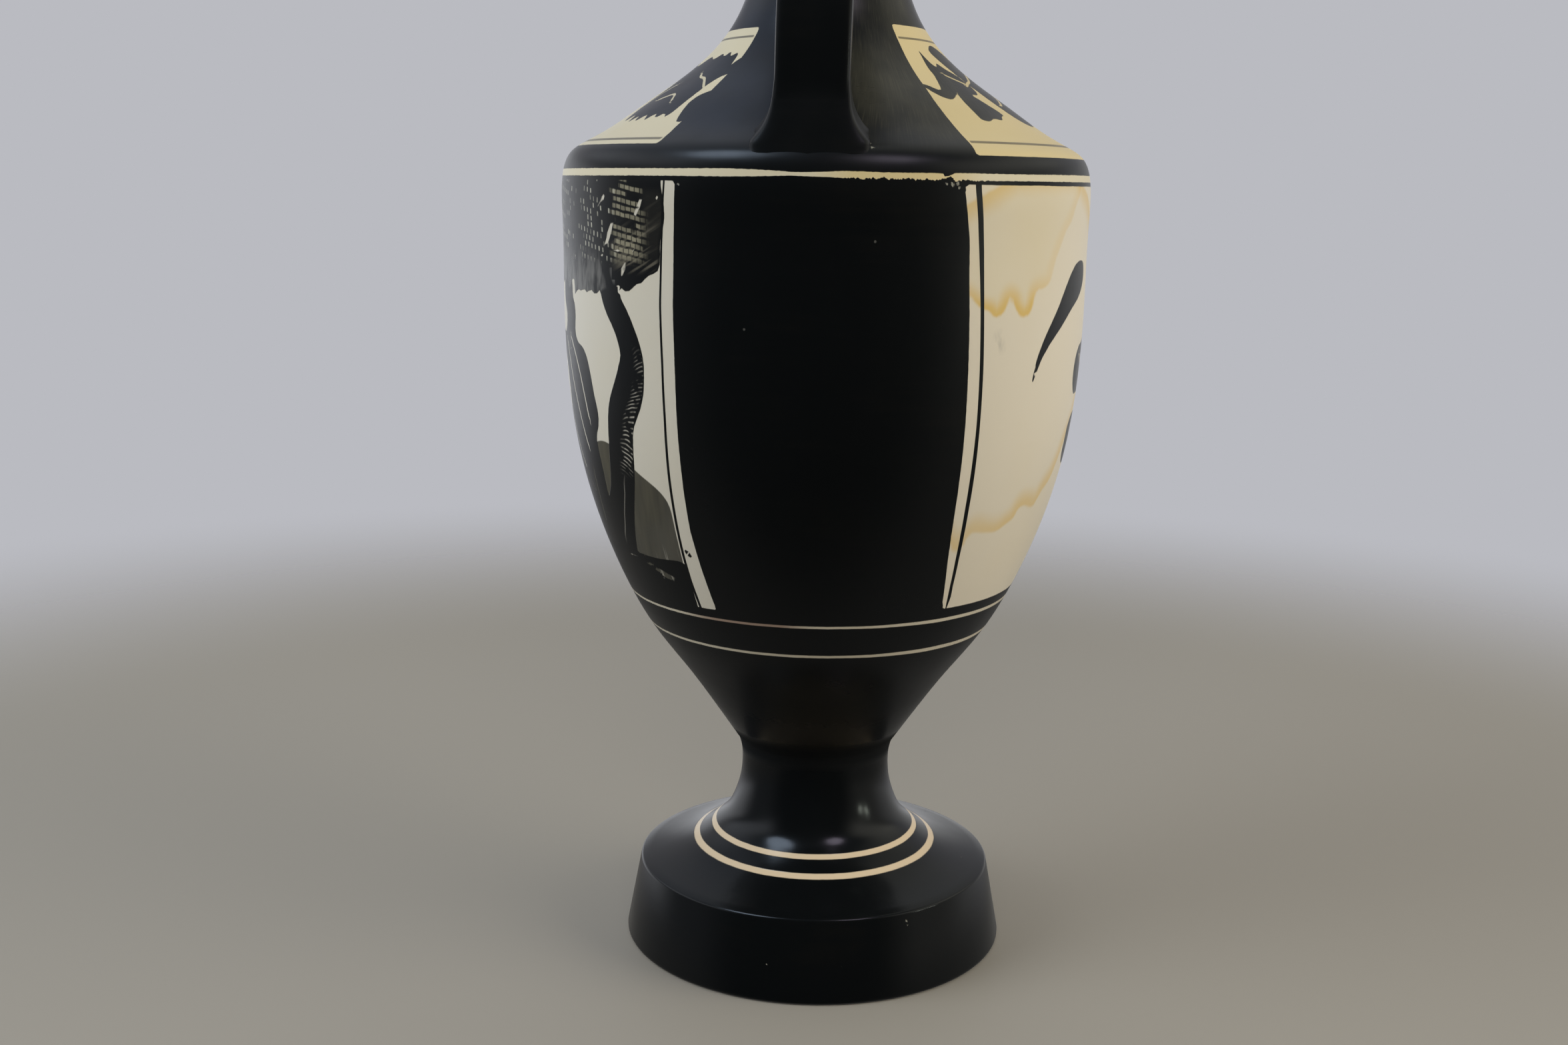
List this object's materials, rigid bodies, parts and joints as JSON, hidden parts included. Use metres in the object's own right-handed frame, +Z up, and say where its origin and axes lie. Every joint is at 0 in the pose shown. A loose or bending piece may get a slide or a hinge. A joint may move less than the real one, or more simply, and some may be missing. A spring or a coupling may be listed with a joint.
{
  "type": "greek amphora",
  "caption": "Tall footed neck amphora in painted, glazed ceramic: a hollow body on a disc foot, a narrow neck and two strap handles from shoulder to neck.",
  "frame": {"origin": "centre of the flat ring under the foot, on the surface that the vase stands on", "axes": "+Z up along the turning axis, towards the mouth; +X and -X through the two handles; the panel with the tree faces -Y"},
  "size_m": [0.1502, 0.1502, 0.36],
  "materials": {
    "painted_glaze": "near-black semi-gloss glaze with cream picture panels, thin cream rings and pale amber stains"
  },
  "bodies": {
    "root": {"amphora": "painted_glaze"}
  },
  "joints": []
}
